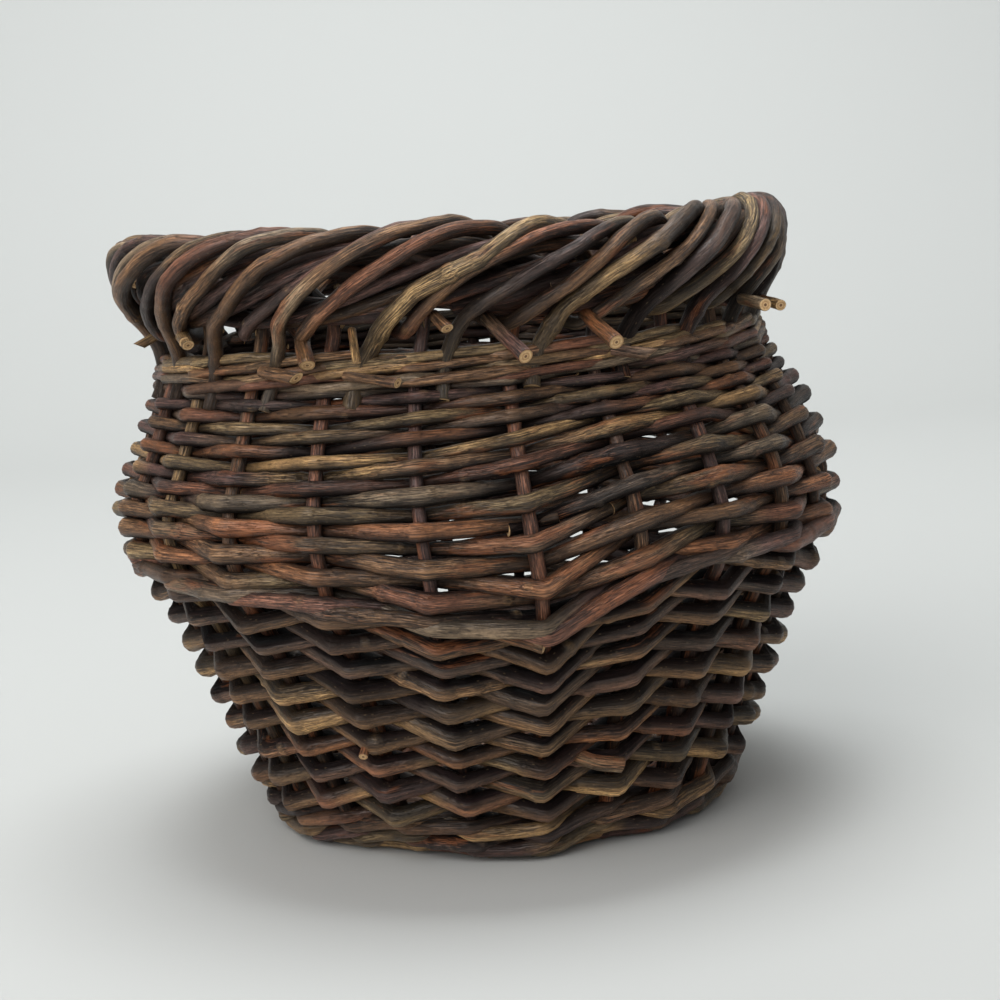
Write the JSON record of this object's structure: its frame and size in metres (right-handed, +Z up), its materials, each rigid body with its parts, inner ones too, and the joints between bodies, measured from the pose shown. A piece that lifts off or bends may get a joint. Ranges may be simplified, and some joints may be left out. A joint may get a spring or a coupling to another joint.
{
  "type": "willow basket",
  "caption": "Round pot-shaped basket of unpeeled brown willow with a woven wall and a thick rolled border.",
  "frame": {"origin": "on the basket's axis, at the flat underside of the foot", "axes": "+Z up along the axis, from the foot to the border; X and Y are free, because the basket is round"},
  "size_m": [0.2174, 0.2174, 0.178],
  "materials": {
    "bark_dark": "matte",
    "bark_brown": "matte",
    "bark_red": "matte",
    "bark_olive": "matte"
  },
  "bodies": {
    "root": {"base_stick_1": "bark_brown", "base_stick_2": "bark_brown", "base_stick_3": "bark_brown", "base_stick_4": "bark_brown", "base_stick_5": "bark_brown", "base_stick_6": "bark_brown", "base_weave": "bark_brown", "upsett_wale": "bark_olive", "lower_siding": "bark_dark", "upper_siding": "bark_brown", "top_wale": "bark_olive", "stake_01": "bark_red", "stake_02": "bark_red", "stake_03": "bark_red", "stake_04": "bark_red", "stake_05": "bark_red", "stake_06": "bark_red", "stake_07": "bark_red", "stake_08": "bark_red", "stake_09": "bark_red", "stake_10": "bark_red", "stake_11": "bark_red", "stake_12": "bark_red", "stake_13": "bark_red", "stake_14": "bark_red", "stake_15": "bark_red", "stake_16": "bark_red", "stake_17": "bark_red", "stake_18": "bark_red", "stake_19": "bark_red", "stake_20": "bark_red", "stake_21": "bark_red", "stake_22": "bark_red", "stake_23": "bark_red", "stake_24": "bark_red", "border_core": "bark_brown", "border_rod_01": "bark_brown", "border_rod_02": "bark_dark", "border_rod_03": "bark_brown", "border_rod_04": "bark_dark", "border_rod_05": "bark_brown", "border_rod_06": "bark_dark", "border_rod_07": "bark_brown", "border_rod_08": "bark_dark", "border_rod_09": "bark_brown", "border_rod_10": "bark_dark", "border_rod_11": "bark_brown", "border_rod_12": "bark_dark", "border_rod_13": "bark_brown", "border_rod_14": "bark_dark", "border_rod_15": "bark_brown", "border_rod_16": "bark_dark", "border_rod_17": "bark_brown", "border_rod_18": "bark_dark", "border_rod_19": "bark_brown", "border_rod_20": "bark_dark", "border_rod_21": "bark_brown", "border_rod_22": "bark_dark", "border_rod_23": "bark_brown", "border_rod_24": "bark_dark"}
  },
  "joints": []
}
